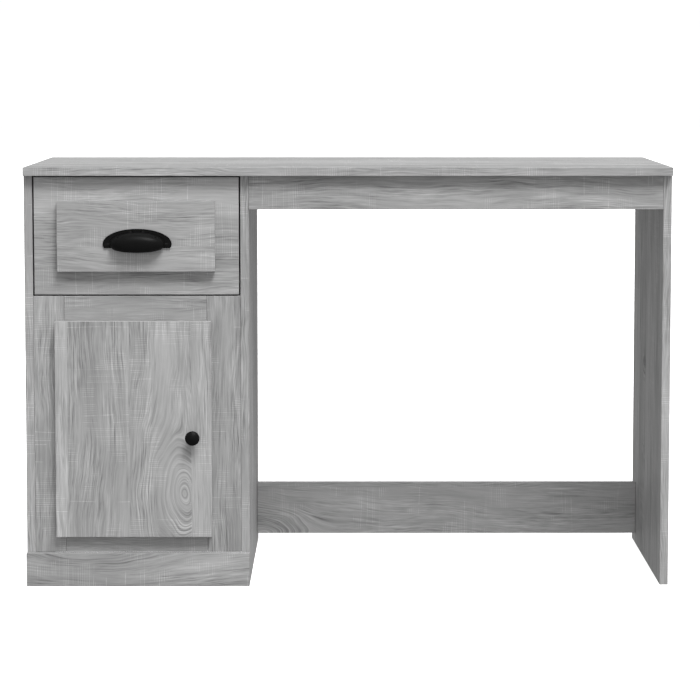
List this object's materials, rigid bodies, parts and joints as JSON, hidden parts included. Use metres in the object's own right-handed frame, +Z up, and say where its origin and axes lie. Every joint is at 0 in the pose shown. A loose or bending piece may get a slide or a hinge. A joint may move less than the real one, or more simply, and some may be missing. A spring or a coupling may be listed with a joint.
{
  "type": "writing desk",
  "caption": "Pedestal writing desk: one drawer over a framed cupboard door at the left, an open knee space, a front apron, a low back rail and a leg panel at the right.",
  "frame": {"origin": "middle of the desk's base on the floor, under the centre of its bounding box", "axes": "+X along the desk towards the leg panel, +Y towards the back, +Z up; the drawer and door are at the front (-Y)"},
  "size_m": [1.15, 0.5272, 0.75],
  "materials": {
    "oak_grey": "matt laminate with a grey rough-sawn oak print, fine fibres, cathedral figure and light saw marks",
    "hardboard": "thin hardboard with a pale painted face",
    "drawer_lining": "pale grey paper-faced board",
    "black_metal": "satin black powder coat",
    "zinc_steel": "bright zinc plate",
    "runner_enamel": "white epoxy coat",
    "roller_nylon": "natural white nylon"
  },
  "bodies": {
    "desk": {"desktop": "oak_grey", "cabinet_side_left": "oak_grey", "cabinet_side_right": "oak_grey", "leg_panel": "oak_grey", "cabinet_floor": "oak_grey", "drawer_divider": "oak_grey", "cabinet_back": "hardboard", "plinth": "oak_grey", "frame_stile_left": "oak_grey", "frame_stile_right": "oak_grey", "frame_rail_top": "oak_grey", "frame_rail_bottom": "oak_grey", "apron": "oak_grey", "back_rail": "oak_grey", "cabinet_side_left_cam_front": "zinc_steel", "cabinet_side_left_cam_back": "zinc_steel", "cabinet_side_right_cam_front": "zinc_steel", "cabinet_side_right_cam_back": "zinc_steel", "leg_panel_cam_front": "zinc_steel", "leg_panel_cam_back": "zinc_steel", "apron_cam_left": "zinc_steel", "apron_cam_right": "zinc_steel", "back_rail_cam_left": "zinc_steel", "back_rail_cam_right": "zinc_steel", "runner_case_left": "runner_enamel", "runner_case_right": "runner_enamel", "hinge_top_arm": "zinc_steel", "hinge_top_arm_pin": "zinc_steel", "hinge_top_plate": "zinc_steel", "hinge_bottom_arm": "zinc_steel", "hinge_bottom_arm_pin": "zinc_steel", "hinge_bottom_plate": "zinc_steel"},
    "drawer": {"drawer_front": "oak_grey", "drawer_front_panel": "oak_grey", "drawer_side_left": "drawer_lining", "drawer_side_right": "drawer_lining", "drawer_back": "drawer_lining", "drawer_base": "hardboard", "cup_pull": "black_metal", "cup_pull_screw_left": "zinc_steel", "cup_pull_screw_right": "zinc_steel", "runner_drawer_left": "runner_enamel", "runner_drawer_right": "runner_enamel"},
    "hinge_links": {"hinge_top_link": "zinc_steel", "hinge_bottom_link": "zinc_steel"},
    "door": {"door": "oak_grey", "door_knob": "black_metal", "door_knob_screw": "zinc_steel", "hinge_top_cup": "zinc_steel", "hinge_top_cup_pin": "zinc_steel", "hinge_bottom_cup": "zinc_steel", "hinge_bottom_cup_pin": "zinc_steel"},
    "roller_case_left": {"roller_case_left": "roller_nylon"},
    "roller_case_right": {"roller_case_right": "roller_nylon"},
    "roller_drawer_left": {"roller_drawer_left": "roller_nylon"},
    "roller_drawer_right": {"roller_drawer_right": "roller_nylon"}
  },
  "joints": [
    {"name": "drawer_slide", "type": "slide", "parent": "desk", "child": "drawer", "axis": [0, -1, 0], "range_m": [0, 0.3]},
    {"name": "hinge_link_swing", "type": "hinge", "parent": "desk", "child": "hinge_links", "pos_m": [-0.491, -0.23137, 0.28337], "axis": [0, 0, 1], "range_deg": [0, 42]},
    {"name": "door_swing", "type": "hinge", "parent": "hinge_links", "child": "door", "pos_m": [-0.5095, -0.22737, 0.28337], "axis": [0, 0, -1], "range_deg": [0, 132]},
    {"name": "roller_case_left_turn", "type": "hinge", "parent": "desk", "child": "roller_case_left", "pos_m": [-0.55575, -0.19387, 0.54525], "axis": [1, 0, 0], "range_deg": [0, 2025]},
    {"name": "roller_drawer_left_turn", "type": "hinge", "parent": "drawer", "child": "roller_drawer_left", "pos_m": [-0.55225, 0.18513, 0.545], "axis": [1, 0, 0], "range_deg": [0, 2025]},
    {"name": "roller_case_right_turn", "type": "hinge", "parent": "desk", "child": "roller_case_right", "pos_m": [-0.19525, -0.19387, 0.54525], "axis": [1, 0, 0], "range_deg": [0, 2025]},
    {"name": "roller_drawer_right_turn", "type": "hinge", "parent": "drawer", "child": "roller_drawer_right", "pos_m": [-0.19875, 0.18513, 0.545], "axis": [1, 0, 0], "range_deg": [0, 2025]}
  ],
  "couplings": [
    {"joint": "hinge_link_swing", "follows": "door_swing", "ratio": 0.318},
    {"joint": "roller_case_left_turn", "follows": "drawer_slide", "rad_per_m": 117.65},
    {"joint": "roller_drawer_left_turn", "follows": "drawer_slide", "rad_per_m": 117.65},
    {"joint": "roller_case_right_turn", "follows": "drawer_slide", "rad_per_m": 117.65},
    {"joint": "roller_drawer_right_turn", "follows": "drawer_slide", "rad_per_m": 117.65}
  ]
}
